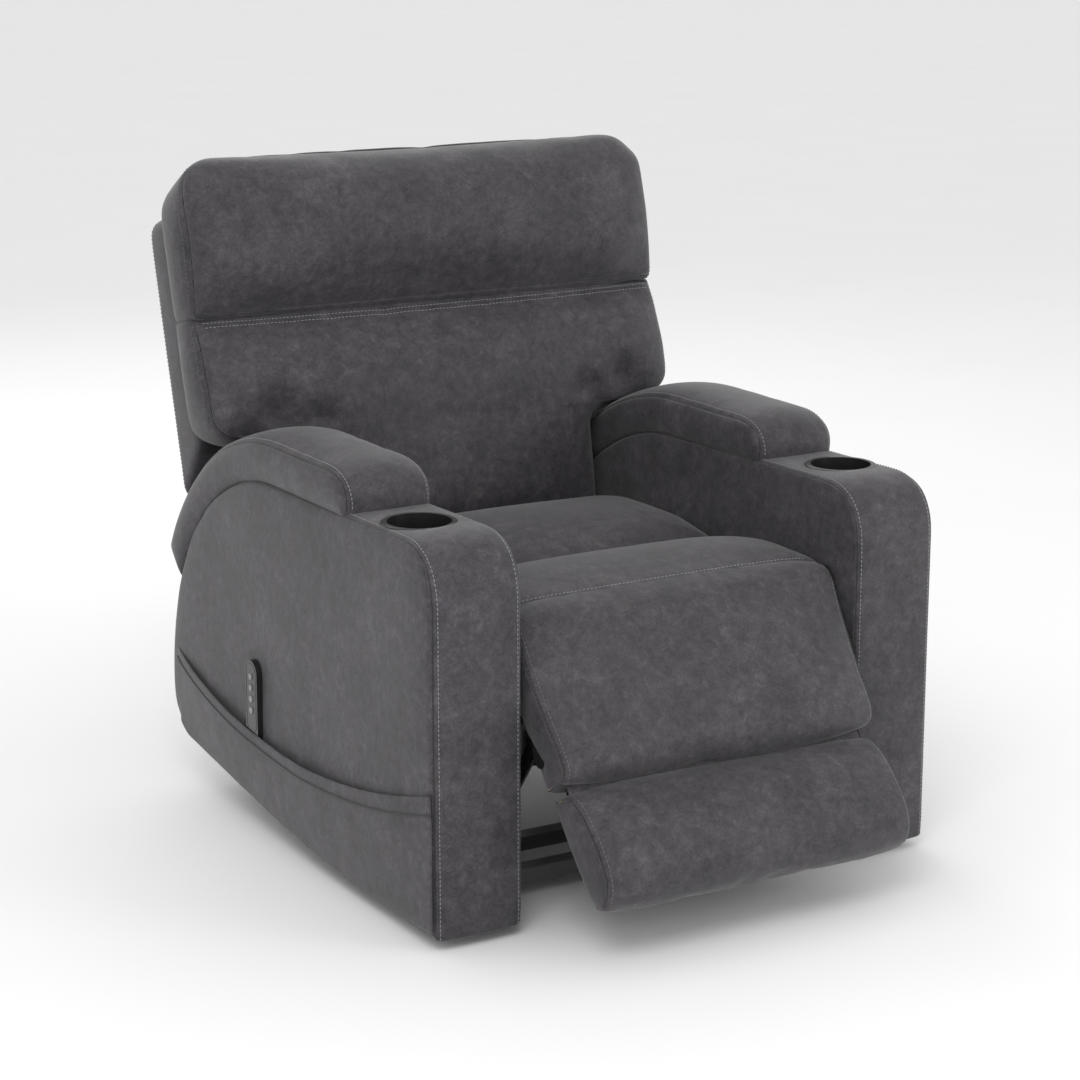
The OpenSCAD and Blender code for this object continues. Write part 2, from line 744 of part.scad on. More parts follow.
// Rear panel with the top of the shell on it; a narrower part goes on down between the arms
module back_panel() {
    color("gray") back_place() {
        translate([-shell_half_w, rear_u, shell_low_w])
            cube([2 * shell_half_w, shell_t, shell_len - shell_low_w]);
        translate([-shell_half_w, shell_front_u, shell_len - shell_t])
            cube([2 * shell_half_w, rear_u - shell_front_u + 1, shell_t]);
        translate([-body_half, rear_u, -40]) cube([2 * body_half, shell_t, shell_low_w + 41]);
    }
}

// Side of the shell with a sloping foot strip that clears the arm pad
module back_side(left) {
    color("gray") on_side(left) back_place() {
        slab(shell_half_w - shell_t, shell_half_w) polygon([[shell_front_u, shell_foot_w],
            [rear_u, foot_line(rear_u)], [rear_u, shell_len - shell_t],
            [shell_front_u, shell_len - shell_t]]);
        slab(bracket_x + 2, shell_half_w) polygon([[shell_front_u, shell_foot_w],
            [rear_u, foot_line(rear_u)], [rear_u, foot_line(rear_u) + shell_t],
            [shell_front_u, shell_foot_w + shell_t]]);
    }
}

module back_brackets() {
    color("black") pair() back_place() difference() {
        bar(bracket_x, link_t, 32, 0, 0, post_u + post_d / 2, 118);
        rod_x(bracket_x - 1, bracket_x + link_t + 1, back_pin_r + run_gap, 0, 0);
    }
}

// ---- Remote ----

module stadium(x0, x1, r, y, z0, z1) {
    rod_x(x0, x1, r, y, z0 + r);
    rod_x(x0, x1, r, y, z1 - r);
    translate([x0, y - r, z0 + r]) cube([x1 - x0, 2 * r, z1 - z0 - 2 * r]);
}

function remote_face() = -arm_out - 0.5 - remote_t;

module remote_body() {
    color("black") difference() {
        stadium(remote_face(), remote_face() + remote_t, remote_w / 2, remote_y, remote_z,
            remote_z + remote_len);
        for (k = [0:3])
            rod_x(remote_face() - 1, remote_face() + 3.5, button_r + 0.3,
                  remote_y, button_top_z - k * button_pitch);
    }
}

module remote_button(k) {
    color("silver")
        rod_x(remote_face() - button_rise, remote_face() + 2, button_r,
              remote_y, button_top_z - k * button_pitch);
}

base_rails();
cross_tubes();
floor_glides();
arm_frame(true);  // arm_frame_left
arm_frame(false);  // arm_frame_right
arm_outer_panel(true);  // arm_outer_panel_left
arm_outer_panel(false);  // arm_outer_panel_right
arm_inner_panel(true);  // arm_inner_panel_left
arm_inner_panel(false);  // arm_inner_panel_right
arm_band(true);  // arm_band_left
arm_band(false);  // arm_band_right
arm_pad(true);  // arm_pad_left
arm_pad(false);  // arm_pad_right
cup_holder(true);  // cup_holder_left
cup_holder(false);  // cup_holder_right
side_pocket();
arm_bolts();
side_plate(true);  // side_plate_left
side_plate(false);  // side_plate_right
plate_legs();
seat_rails();
seat_springs();
seat_cushion_front();
seat_cushion_rear();
actuator_tube();
actuator_motor();
motor_bracket();
power_supply();
power_inlet();
hinge_pins();
torque_tube();
crank_links();
slotted_lever();
actuator_rod();
coupler_links();
coupler_pins();
idler_links();
footrest_board();
footrest_pad();
footrest_brackets();
footrest_lugs();
flip_board();
flip_pad();
flip_arms();
back_post(true);  // back_post_left
back_post(false);  // back_post_right
back_rails();
back_springs();
lumbar_cushion();
head_cushion();
back_panel();
back_side(true);  // back_side_left
back_side(false);  // back_side_right
back_brackets();
remote_body();
remote_button(0);  // remote_button_1
remote_button(1);  // remote_button_2
remote_button(2);  // remote_button_3
remote_button(3);  // remote_button_4
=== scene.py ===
"""Looks of a power recliner armchair: upholstery, stitching, finishes, light and camera."""
import json
import math

import bmesh
import bpy
import numpy as np
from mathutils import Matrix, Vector, noise
from mathutils.bvhtree import BVHTree


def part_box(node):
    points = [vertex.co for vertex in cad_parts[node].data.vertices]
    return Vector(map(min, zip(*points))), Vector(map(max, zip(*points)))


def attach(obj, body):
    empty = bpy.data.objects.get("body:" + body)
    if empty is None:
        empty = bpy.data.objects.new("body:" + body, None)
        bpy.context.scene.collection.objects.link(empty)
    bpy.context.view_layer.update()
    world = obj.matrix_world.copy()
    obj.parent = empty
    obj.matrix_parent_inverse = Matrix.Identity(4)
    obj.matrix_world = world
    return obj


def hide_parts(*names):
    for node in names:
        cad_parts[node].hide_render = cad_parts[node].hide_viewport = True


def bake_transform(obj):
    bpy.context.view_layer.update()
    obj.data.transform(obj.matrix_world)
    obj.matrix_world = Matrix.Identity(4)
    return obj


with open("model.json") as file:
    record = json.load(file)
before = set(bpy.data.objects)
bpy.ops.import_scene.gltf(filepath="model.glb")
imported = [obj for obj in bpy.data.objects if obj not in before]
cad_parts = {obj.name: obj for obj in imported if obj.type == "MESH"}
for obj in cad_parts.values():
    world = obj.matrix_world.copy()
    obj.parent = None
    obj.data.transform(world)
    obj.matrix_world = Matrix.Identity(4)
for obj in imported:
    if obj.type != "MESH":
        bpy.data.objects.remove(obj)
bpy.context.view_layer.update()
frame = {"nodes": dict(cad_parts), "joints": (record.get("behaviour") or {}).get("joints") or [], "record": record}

SCENE = bpy.context.scene

# ---- Places, all from the frame, in metres ----

JOINT = {j["name"]: j for j in frame["joints"]}
BAND_LOW, BAND_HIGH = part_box("arm_band_left")
PAD_LOW, PAD_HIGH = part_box("arm_pad_left")
SEAT_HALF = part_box("arm_inner_panel_left")[0].x
ARM_OUT = -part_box("arm_outer_panel_right")[0].x
CUSHION_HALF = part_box("flip_pad")[1].x
BACK_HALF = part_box("head_cushion")[1].x
SHELL_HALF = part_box("back_panel")[1].x
CUP_LOW, CUP_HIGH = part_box("cup_holder_left")
HINGE = Vector(JOINT["back_recline"]["pos_m"])
PIVOT = Vector(JOINT["footrest_raise"]["pos_m"])
FLIP = Vector(JOINT["flip_turn"]["pos_m"])
LEAN = math.radians(15)
REST_ANGLE = math.radians(55)
FLIP_ANGLE = math.radians(47)

# Arm outline: the same arcs as the arm's wooden frame
NOSE_R = 0.078
HEEL_R = 0.090
CURVE_Y = 0.097
HEEL_Z = 0.171
TOP_DROP = 0.008
SOLE_Y = -0.039
SOLE_RISE = 0.007
ELL_Y = BAND_HIGH.y - CURVE_Y
ELL_Z = BAND_HIGH.z - TOP_DROP - HEEL_Z
PAD_T = PAD_HIGH.z - (BAND_HIGH.z - TOP_DROP)
PAD_NOSE_Y = 0.062
PAD_NOSE_Z = 0.040
CUP_HOLE_R = 0.0497
CUP_HOLE_DEPTH = 0.2

# Sewing
SEAM = 0.0062  # depth that a seam draws in
PULL = 0.7  # share of that depth at an edge
GROOVE = 0.0028  # half width of the groove along a seam
LIP = 0.0022  # grid row next to a seam
SEAM_ROW = 0.0085  # grid row of the top-stitching
CELL = 0.015
LONG_WAVE = 0.17
SHORT_WAVE = 0.035
THREAD_R = 0.00062
STITCH = 0.0046
PITCH = 0.0066
BOTH_FACES = (("side", "side_back"), ("front", "back"))
FRONT_FACE = (("side",), ("front",))


def back_at(x, u, w):
    """Point in the back's own frame: u to the rear, w up along the back."""
    return Vector((x, HINGE.y + u * math.cos(LEAN) + w * math.sin(LEAN),
                   HINGE.z - u * math.sin(LEAN) + w * math.cos(LEAN)))


def leaf_at(origin, angle, x, along, off):
    """Point on a footrest leaf: along it from its hinge, and off its padded face."""
    return Vector((x, origin.y - along * math.cos(angle) - off * math.sin(angle),
                   origin.z - along * math.sin(angle) + off * math.cos(angle)))


REARWARD = back_at(0, 1, 0) - back_at(0, 0, 0)


# ---- Outlines ----

def arc(cy, cz, ry, rz, a0, a1, n=12):
    """Points on an arc or a quarter ellipse, angles in degrees."""
    angles = [math.radians(a0 + (a1 - a0) * k / n) for k in range(n + 1)]
    return [(cy + ry * math.cos(a), cz + rz * math.sin(a)) for a in angles]


def curve(points, n=10):
    """Smooth line through points, n steps between neighbours."""
    p = [np.array(q, float) for q in points]
    p = [2 * p[0] - p[1]] + p + [2 * p[-1] - p[-2]]
    out = []
    for a, b, c, d in zip(p, p[1:], p[2:], p[3:]):
        for k in range(n):
            t = k / n
            out.append(0.5 * (2 * b + (c - a) * t + (2 * a - 5 * b + 4 * c - d) * t * t
                              + (3 * b - a - 3 * c + d) * t ** 3))
    return np.array(out + [p[-2]])


def at_shares(line, shares):
    """Points at shares of the length of a line."""
    p = np.array(line, float)
    run = np.concatenate([[0], np.cumsum(np.linalg.norm(np.diff(p, axis=0), axis=1))])
    return np.stack([np.interp(np.array(shares) * run[-1], run, p[:, k])
                     for k in range(p.shape[1])], axis=1)


def length_of(line):
    return float(np.linalg.norm(np.diff(np.array(line, float), axis=0), axis=1).sum())


def shares_for(length, cell, extra=()):
    """Shares of a side for the grid lines: narrow rows by the seams, extra lines where asked."""
    lip, edge = LIP / length, SEAM_ROW / length
    n = max(2, round((length - 4 * SEAM_ROW) / cell))
    middle = [2 * edge + (1 - 4 * edge) * k / n for k in range(n + 1)]
    near = 0.35 * cell / length
    middle = [m for m in middle if all(abs(m - e / length) > near for e in extra)]
    return sorted([0, lip, edge, 1 - edge, 1 - lip, 1] + middle + [e / length for e in extra])


def patch(sides, u, v):
    """Grid of plane points inside four sides; bottom and top run with u, left and right with v."""
    bottom, top = (at_shares(s, u) for s in sides[:2])
    left, right = (at_shares(s, v) for s in sides[2:])
    a = np.array(u)[None, :, None]
    b = np.array(v)[:, None, None]
    return ((1 - b) * bottom[None] + b * top[None] + (1 - a) * left[:, None] + a * right[:, None]
            - (1 - a) * (1 - b) * bottom[0] - a * (1 - b) * bottom[-1]
            - (1 - a) * b * top[0] - a * b * top[-1])


def ring_of(rows, columns):
    """Grid indices round the border of a grid, from the start of its bottom row."""
    r, c = rows - 1, columns - 1
    return ([(0, i) for i in range(c)] + [(j, c) for j in range(r)]
            + [(r, i) for i in range(c, 0, -1)] + [(j, 0) for j in range(r, 0, -1)])


def box_sides(half, q0, q1, r=0.0, top_r=None):
    """Four sides of a rectangle that is 2 * half wide, with rounded corners."""
    low, high = max(r, 1e-4), max(r if top_r is None else top_r, 1e-4)

    def corner(sx, q, rad, a0, a1):
        return arc(sx * (half - rad), q, rad, rad, a0, a1, 5)

    bottom = corner(-1, q0 + low, low, 225, 270) + corner(1, q0 + low, low, 270, 315)
    top = corner(-1, q1 - high, high, 135, 90) + corner(1, q1 - high, high, 90, 45)
    left = corner(-1, q0 + low, low, 225, 180) + corner(-1, q1 - high, high, 180, 135)
    right = corner(1, q0 + low, low, -45, 0) + corner(1, q1 - high, high, 0, 45)
    return bottom, top, left, right


# ---- Sewn forms ----

def drawn_in(line, amount):
    """A line moved inwards, to its left, by an amount that depends on the place."""
    line = np.array(line, float)
    run = np.gradient(line, axis=0)
    run /= np.linalg.norm(run, axis=1)[:, None] + 1e-12
    out = np.stack([run[:, 1], -run[:, 0]], axis=1)
    return line - out * np.array([amount(False, q) for q in line])[:, None]


def wave(p, size, amount, seed=0.0):
    """Smooth waves of a given size in metres."""
    return amount * noise.noise(Vector(p) / size + Vector((seed, 3.1 * seed, 7.7)))


def new_object(name, verts, faces):
    mesh = bpy.data.meshes.new(name)
    mesh.from_pydata([tuple(v) for v in verts], [], faces)
    form = bmesh.new()
    form.from_mesh(mesh)
    bmesh.ops.recalc_face_normals(form, faces=form.faces)
    form.to_mesh(mesh)
    form.free()
    mesh.polygons.foreach_set("use_smooth", [True] * len(mesh.polygons))
    obj = bpy.data.objects.new(name, mesh)
    SCENE.collection.objects.link(obj)
    return obj


def sewn(name, sides, front, back, crown=(0.02, 0.0), soft=0.03, bulge=0.004, side_soft=0.02,
         cell=CELL, side_cell=0.015, waves=0.0016, pucker=0.0008, seams_across=(), hem=PULL,
         seed=1.0):
    """Closed upholstered form: a front and a back face inside four sides, with boxing between.

    front and back turn a plane point into a place. Faces are crowned and the boxing bulges, each
    rising over its own soft distance from a seam; bulge may be a function of whether the place is
    on the bottom side and of the plane point. hem is how far the bottom edge is drawn in, as a
    share of a seam's depth. seams_across are places along the bottom and top sides where the
    boxing is drawn in. The returned rows name the vertices on and beside the seams."""
    lengths = [length_of(s) for s in sides]
    beside = (-SEAM_ROW, -LIP, 0, LIP, SEAM_ROW)
    u = shares_for(lengths[1], cell, [q + d for q in seams_across for d in beside])
    v = shares_for((lengths[2] + lengths[3]) / 2, cell)
    grid = patch(sides, u, v)
    rows, columns = grid.shape[:2]
    ring = ring_of(rows, columns)
    top_start = 2 * (columns - 1) + rows - 1  # ring index of the top side's first column
    border = np.array([grid[j, i] for j, i in ring])
    tangent = np.roll(border, -1, axis=0) - np.roll(border, 1, axis=0)
    normal = np.stack([tangent[:, 1], -tangent[:, 0]], axis=1)
    normal /= np.linalg.norm(normal, axis=1)[:, None] + 1e-12
    if (border[:, 0] * tangent[:, 1] - border[:, 1] * tangent[:, 0]).sum() < 0:
        normal = -normal
    depth = np.mean([(front(*p) - back(*p)).length for p in border[::5]])
    shares = shares_for(depth, side_cell)[1:-1]
    verts, faces, on_ring = [], [], {c: k for k, c in enumerate(ring)}

    def outward(k, place):
        p, n = border[k], normal[k]
        return (place(*(p + n * 0.001)) - place(*p)).normalized()

    def drawn(gap):
        """How far a face is drawn in at some distance from its seam."""
        return SEAM * PULL * math.exp(-(gap / GROOVE) ** 2)

    def face_point(j, i, place, other, lift):
        p = grid[j, i]
        here = place(*p)
        up = (here - other(*p)).normalized()
        if (j, i) in on_ring:
            return here - (outward(on_ring[j, i], place) + up) * SEAM * (PULL if j else hem)
        gap = float(np.sqrt(((border - p) ** 2).sum(1)).min())
        rise = lift * (1 - math.exp(-gap / soft)) - drawn(gap)
        if lift:
            rise += wave(here, LONG_WAVE, waves, seed) * min(1, gap / 0.05)
            rise += (wave(here, SHORT_WAVE, pucker, seed + 2)
                     * math.exp(-gap / 0.03) * min(1, gap / 0.01))
        return here + up * rise

    def strip_point(k, t):
        p = border[k]
        a, b = front(*p), back(*p)
        here = a.lerp(b, t)
        gap = min(t, 1 - t) * (a - b).length
        most = bulge(k < columns, p) if callable(bulge) else bulge
        rise = most * (1 - math.exp(-gap / side_soft)) - drawn(gap)
        rise += wave(here, LONG_WAVE, waves, seed + 4) * min(1, gap / 0.06)
        rise += (wave(here, SHORT_WAVE, pucker, seed + 5)
                 * math.exp(-gap / 0.03) * min(1, gap / 0.01))
        if 0 <= top_start - k < columns:
            at = u[top_start - k] * lengths[1]
            rise -= sum(0.3 * SEAM * math.exp(-((at - q) / 0.0036) ** 2)
                        - 0.003 * math.exp(-((at - q) / 0.03) ** 2)
                        for q in seams_across) * min(1, gap / 0.01)
        return here + outward(k, front).lerp(outward(k, back), t) * rise

    for j in range(rows):
        for i in range(columns):
            verts.append(face_point(j, i, front, back, crown[0]))
    side_start, count = len(verts), len(ring)
    for t in shares:
        verts += [strip_point(k, t) for k in range(count)]
    back_start = len(verts)
    for j in range(rows):
        for i in range(columns):
            verts.append(face_point(j, i, back, front, crown[1]))

    def cell_faces(start):
        return [[start + j * columns + i, start + j * columns + i + 1,
                 start + (j + 1) * columns + i + 1, start + (j + 1) * columns + i]
                for j in range(rows - 1) for i in range(columns - 1)]

    faces += cell_faces(0) + [f[::-1] for f in cell_faces(back_start)]
    front_ring = [j * columns + i for j, i in ring]
    loops_of = [front_ring] + [[side_start + n * count + k for k in range(count)]
                               for n in range(len(shares))] + [[back_start + k for k in front_ring]]
    for a, b in zip(loops_of, loops_of[1:]):
        faces += [[a[k], a[(k + 1) % count], b[(k + 1) % count], b[k]] for k in range(count)]
    obj = new_object(name, verts, faces)

    def column_at(q):
        return min(range(columns), key=lambda i: abs(u[i] * lengths[1] - q))

    found = {"seams": front_ring + loops_of[-1], "front": front_ring, "back": loops_of[-1],
             "side": loops_of[2], "side_back": loops_of[-3],
             "faces": list(range(side_start)) + list(range(back_start, len(verts))),
             "all_back": list(range(back_start, len(verts))),
             "under": [k for loop in loops_of for k in loop[:columns]],
             "strip_line": {q: [loop[top_start - column_at(q)] for loop in loops_of]
                            for q in seams_across}}
    return obj, found


def inflate(obj, held, cap, pressure=4.0, spare=0.004, frames=20):
    """Blows a form up as cloth with its held vertices fixed, and caps how far points move."""
    group = obj.vertex_groups.new(name="held")
    group.add(sorted(set(held)), 1.0, "REPLACE")
    cloth = obj.modifiers.new("cloth", "CLOTH")
    cloth.settings.quality = 5
    cloth.settings.mass = 0.3
    cloth.settings.tension_stiffness = 15
    cloth.settings.compression_stiffness = 15
    cloth.settings.shear_stiffness = 5
    cloth.settings.bending_stiffness = 2.0
    cloth.settings.use_pressure = True
    cloth.settings.uniform_pressure_force = pressure
    cloth.settings.vertex_group_mass = "held"
    cloth.settings.shrink_min = -spare
    cloth.settings.effector_weights.gravity = 0
    cloth.point_cache.frame_start = 1
    cloth.point_cache.frame_end = frames
    start = np.array([v.co for v in obj.data.vertices])
    for number in range(1, frames + 1):
        SCENE.frame_set(number)
    blown = obj.evaluated_get(bpy.context.evaluated_depsgraph_get())
    moved = np.array([v.co for v in blown.data.vertices]) - start
    obj.modifiers.remove(cloth)
    obj.vertex_groups.remove(group)
    SCENE.frame_set(1)
    far = np.linalg.norm(moved, axis=1)
    moved *= np.minimum(1, cap / np.maximum(far, 1e-9))[:, None]
    obj.data.vertices.foreach_set("co", (start + moved).astype(np.float32).ravel())
    obj.data.update()


def settle(obj, cutter=None):
    """Adds one subdivision as real geometry, and takes a cutter's shape away."""
    obj.modifiers.new("subdivision", "SUBSURF").levels = 1
    if cutter:
        cut = obj.modifiers.new("cut", "BOOLEAN")
        cut.object = cutter
        cut.solver = "EXACT"
    graph = bpy.context.evaluated_depsgraph_get()
    mesh = bpy.data.meshes.new_from_object(obj.evaluated_get(graph))
    obj.modifiers.clear()
    obj.data = mesh
    mesh.polygons.foreach_set("use_smooth", [True] * len(mesh.polygons))
    if cutter:
        bpy.data.objects.remove(cutter)


def places(obj, indices, keep=None):
    """Runs of neighbouring vertex places along a seam row, split where keep says no."""
    runs, run = [], []
    for k in indices:
        p = obj.data.vertices[k].co.copy()
        if keep is None or keep(p):
            run.append(p)
        elif run:
            runs.append(run)
            run = []
    if run:
        whole = keep is None
        runs.append(run + [run[0]] if whole else run)
    if keep is not None and len(runs) > 1 and keep(obj.data.vertices[indices[0]].co) \
            and keep(obj.data.vertices[indices[-1]].co):
        runs[0] = runs.pop() + runs[0]
    return [r for r in runs if len(r) > 1]


def rows_where(obj, rows, keep, keys=BOTH_FACES):
    """Runs for the top-stitching and runs for the painted seam shadow, where keep says yes."""
    return [[r for key in group for r in places(obj, rows[key], keep)] for group in keys]


def press(obj, spots, into):
    """Dimples pressed into a form: each spot has a place, a radius and a depth."""
    for v in obj.data.vertices:
        v.co += into * sum(deep * math.exp(-((v.co - place).length / wide) ** 2)
                           for place, wide, deep in spots)


def stitches(name, target, runs, thread=None, length=STITCH, pitch=PITCH, radius=THREAD_R):
    """Top-stitching: short threads laid on the target along each run of points near it."""
    tree = BVHTree.FromObject(target, bpy.context.evaluated_depsgraph_get())
    verts, faces, sides = [], [], 5
    for run in runs:
        total = length_of(run)
        count = max(1, int(total / pitch))
        middles = [(k + 0.5) / count for k in range(count)]
        half = length / 2 / total
        starts = at_shares(run, [m - half for m in middles])
        ends = at_shares(run, [m + half for m in middles])
        for a, b in zip(starts, ends):
            spot_a, up, _, _ = tree.find_nearest(Vector(a))
            spot_b, _, _, _ = tree.find_nearest(Vector(b))
            line = spot_b - spot_a
            if line.length < length * 0.3:
                continue
            across = line.cross(up).normalized()
            over = across.cross(line).normalized()
            first = len(verts)
            for t, wide, rise in ((0.0, 0.45, -0.3), (0.2, 1.0, 0.5), (0.5, 1.05, 0.8),
                                  (0.8, 1.0, 0.5), (1.0, 0.45, -0.3)):
                middle = spot_a + line * t + over * rise * radius
                for k in range(sides):
                    a_k = 2 * math.pi * k / sides
                    verts.append(middle + (across * math.cos(a_k) + over * math.sin(a_k))
                                 * wide * radius)
            for loop in range(4):
                for k in range(sides):
                    c, d = first + loop * sides + k, first + loop * sides + (k + 1) % sides
                    faces.append([c, d, d + sides, c + sides])
            faces.append([first + k for k in range(sides)][::-1])
            faces.append([first + 4 * sides + k for k in range(sides)])
    obj = new_object(name, verts, faces)
    obj.data.materials.append(thread or THREAD)
    return obj


def painted_seam_shadow(name, target, runs):
    """Painted seam shadow: a near-black cord that lies in the groove of a seam and stands for its shade."""
    return stitches(name, target, runs, SEAM_SHADE, length=0.0072, pitch=0.006, radius=0.0014)


# ---- Materials ----

def put(tree, kind, inputs=None, **settings):
    """Adds a node; inputs are values, or sockets to link."""
    node = tree.nodes.new(kind)
    for key, value in settings.items():
        setattr(node, key, value)
    for key, value in (inputs or {}).items():
        if isinstance(value, bpy.types.NodeSocket):
            tree.links.new(value, node.inputs[key])
        else:
            node.inputs[key].default_value = value
    return node


def ramp(tree, factor, stops):
    """Colours at given places of a factor."""
    node = put(tree, "ShaderNodeValToRGB", {"Fac": factor})
    elements = node.color_ramp.elements
    while len(elements) < len(stops):
        elements.new(0.5)
    for element, (place, colour) in zip(elements, stops):
        element.position = place
        element.color = (*colour, 1)
    return node.outputs["Color"]


def grain(tree, where, scale, detail=4, rough=0.55, distort=0.0):
    """Noise of a given scale."""
    node = put(tree, "ShaderNodeTexNoise", {"Vector": where, "Scale": scale, "Detail": detail,
               "Roughness": rough, "Distortion": distort})
    return node.outputs["Fac"]


def mixed(tree, parts):
    """Weighted sum of sockets."""
    total = None
    for socket, weight in parts:
        part = put(tree, "ShaderNodeMath", {0: socket, 1: weight}, operation="MULTIPLY").outputs[0]
        total = part if total is None else put(
            tree, "ShaderNodeMath", {0: total, 1: part}, operation="ADD").outputs[0]
    return total


def shader(name, uniform=None):
    """New material with its principled shader, its tree and object coordinates."""
    made = bpy.data.materials.new(name)
    made.use_nodes = True
    tree = made.node_tree
    surface = tree.nodes["Principled BSDF"]
    for key, value in (uniform or {}).items():
        surface.inputs[key].default_value = value
    where = put(tree, "ShaderNodeTexCoord").outputs["Object"]
    return made, tree, surface, where


def bump(tree, surface, height, strength, distance, below=None):
    """Relief on a surface, over another relief if one is given."""
    inputs = {"Height": height, "Strength": strength, "Distance": distance}
    if below is not None:
        inputs["Normal"] = below
    node = put(tree, "ShaderNodeBump", inputs)
    tree.links.new(node.outputs["Normal"], surface.inputs["Normal"])
    return node.outputs["Normal"]


def distressed_fabric(name, tone=1.0):
    """Charcoal microfibre with rubbed lighter patches, a fine nap and a soft sheen."""
    made, tree, surface, where = shader(name, {
        "Sheen Weight": 0.22, "Sheen Roughness": 0.45, "Specular IOR Level": 0.42})
    clouds = grain(tree, where, 11, 6, 0.62, 0.3)
    smudges = grain(tree, where, 58, 10, 0.80, 0.35)
    specks = grain(tree, where, 300, 6, 0.78)
    nap = grain(tree, where, 1300, 2, 0.7)
    tones = mixed(tree, [(clouds, 0.20), (smudges, 0.44), (specks, 0.24), (nap, 0.12)])
    dark, middle, light, pale = ([c * tone for c in rgb] for rgb in (
        (0.0145, 0.0130, 0.0150), (0.0315, 0.0288, 0.0323), (0.0500, 0.0460, 0.0510),
        (0.0900, 0.0845, 0.0910)))
    colour = ramp(tree, tones, [(0.41, dark), (0.475, middle), (0.53, light), (0.60, pale)])
    tint = ramp(tree, grain(tree, where, 26, 4),
                [(0.38, (0.985, 0.985, 1.03)), (0.62, (1.03, 0.985, 0.99))])
    blend = put(tree, "ShaderNodeMix", {0: 1.0}, data_type="RGBA", blend_type="MULTIPLY")
    tree.links.new(colour, blend.inputs[6])
    tree.links.new(tint, blend.inputs[7])
    tree.links.new(blend.outputs[2], surface.inputs["Base Color"])
    rough = put(tree, "ShaderNodeMapRange", {"Value": tones, "From Min": 0.3, "From Max": 0.7,
                "To Min": 0.52, "To Max": 0.76}).outputs[0]
    tree.links.new(rough, surface.inputs["Roughness"])
    creases = grain(tree, where, 95, 5, 0.6, 0.8)
    first = bump(tree, surface, creases, 0.28, 0.0016)
    bump(tree, surface, nap, 0.32, 0.0006, first)
    return made


def paint(name, colour, rough, metal=0.0, coat=0.0):
    """Painted or moulded surface with a fine orange peel and slight wear in its tone."""
    made, tree, surface, where = shader(name, {"Metallic": metal, "Coat Weight": coat})
    dull = grain(tree, where, 24, 5)
    shade = ramp(tree, dull, [(0.3, [c * 0.82 for c in colour]), (0.7, [c * 1.15 for c in colour])])
    tree.links.new(shade, surface.inputs["Base Color"])
    level = put(tree, "ShaderNodeMapRange", {"Value": grain(tree, where, 60, 4),
                "To Min": rough - 0.07, "To Max": rough + 0.09}).outputs[0]
    tree.links.new(level, surface.inputs["Roughness"])
    bump(tree, surface, grain(tree, where, 700, 2), 0.12, 0.0004)
    return made


def bare_steel(name):
    """Drawn steel with lengthwise brushing."""
    made, tree, surface, where = shader(name, {"Metallic": 1.0})
    stretched = put(tree, "ShaderNodeMapping", {"Vector": where, "Scale": (6, 400, 400)}).outputs[0]
    lines = grain(tree, stretched, 3, 4)
    tree.links.new(ramp(tree, lines, [(0.3, (0.42, 0.42, 0.43)), (0.7, (0.62, 0.62, 0.63))]),
                   surface.inputs["Base Color"])
    level = put(tree, "ShaderNodeMapRange",
                {"Value": lines, "To Min": 0.24, "To Max": 0.42}).outputs[0]
    tree.links.new(level, surface.inputs["Roughness"])
    bump(tree, surface, lines, 0.15, 0.0003)
    return made


def plywood(name):
    """Pale wood with long grain and rings."""
    made, tree, surface, where = shader(name)
    stretched = put(tree, "ShaderNodeMapping", {"Vector": where, "Scale": (3, 1, 12)}).outputs[0]
    rings = grain(tree, stretched, 9, 6, 0.6, 1.4)
    tree.links.new(ramp(tree, rings, [(0.3, (0.30, 0.19, 0.10)), (0.55, (0.45, 0.31, 0.17)),
                                      (0.75, (0.56, 0.41, 0.25))]), surface.inputs["Base Color"])
    level = put(tree, "ShaderNodeMapRange",
                {"Value": rings, "To Min": 0.55, "To Max": 0.75}).outputs[0]
    tree.links.new(level, surface.inputs["Roughness"])
    bump(tree, surface, rings, 0.2, 0.0008)
    return made


def spun_thread(name, tone=1.0):
    """Grey thread with a twisted ply."""
    made, tree, surface, where = shader(name, {"Sheen Weight": 0.3})
    ply = grain(tree, where, 1500, 2)
    low, high = ([c * tone for c in rgb] for rgb in ((0.16, 0.16, 0.165), (0.30, 0.30, 0.31)))
    tree.links.new(ramp(tree, ply, [(0.35, low), (0.65, high)]), surface.inputs["Base Color"])
    surface.inputs["Roughness"].default_value = 0.7
    bump(tree, surface, ply, 0.4, 0.0003)
    return made


FABRIC = distressed_fabric("fabric_front")
FABRIC_REAR = distressed_fabric("fabric_rear", 0.95)
THREAD = spun_thread("thread")
THREAD_DARK = spun_thread("thread_dark", 0.42)
# Near-black thread for the painted seam shadows, which stand for the shade in the seam grooves.
SEAM_SHADE = spun_thread("painted_seam_shadow", 0.05)
FINISH = {
    "cup_plastic": paint("cup_plastic", (0.012, 0.012, 0.013), 0.34),
    "black_steel": paint("black_steel", (0.010, 0.010, 0.011), 0.38),
    "grey_steel": paint("grey_steel", (0.060, 0.060, 0.064), 0.42),
    "bright_steel": bare_steel("bright_steel"),
    "wood": plywood("wood"),
    "black_plastic": paint("black_plastic", (0.014, 0.014, 0.015), 0.46),
    "remote_shell": paint("remote_shell", (0.009, 0.009, 0.010), 0.30, coat=0.25),
    "button_grey": paint("button_grey", (0.27, 0.27, 0.28), 0.45),
}


def finish_nodes():
    """Finishes and small edge rounds on the CAD nodes that stay."""
    for part in frame["record"]["subparts"]:
        made = FINISH.get(part["material_slot"])
        obj = frame["nodes"][part["node"]]
        obj.data.materials.clear()
        obj.data.materials.append(made or FABRIC)
        if made and part["material_slot"] not in ("cup_plastic", "bright_steel"):
            edge = obj.modifiers.new("edges", "BEVEL")
            edge.width = 0.0008
            edge.segments = 2
            edge.limit_method = "ANGLE"
            edge.angle_limit = math.radians(40)


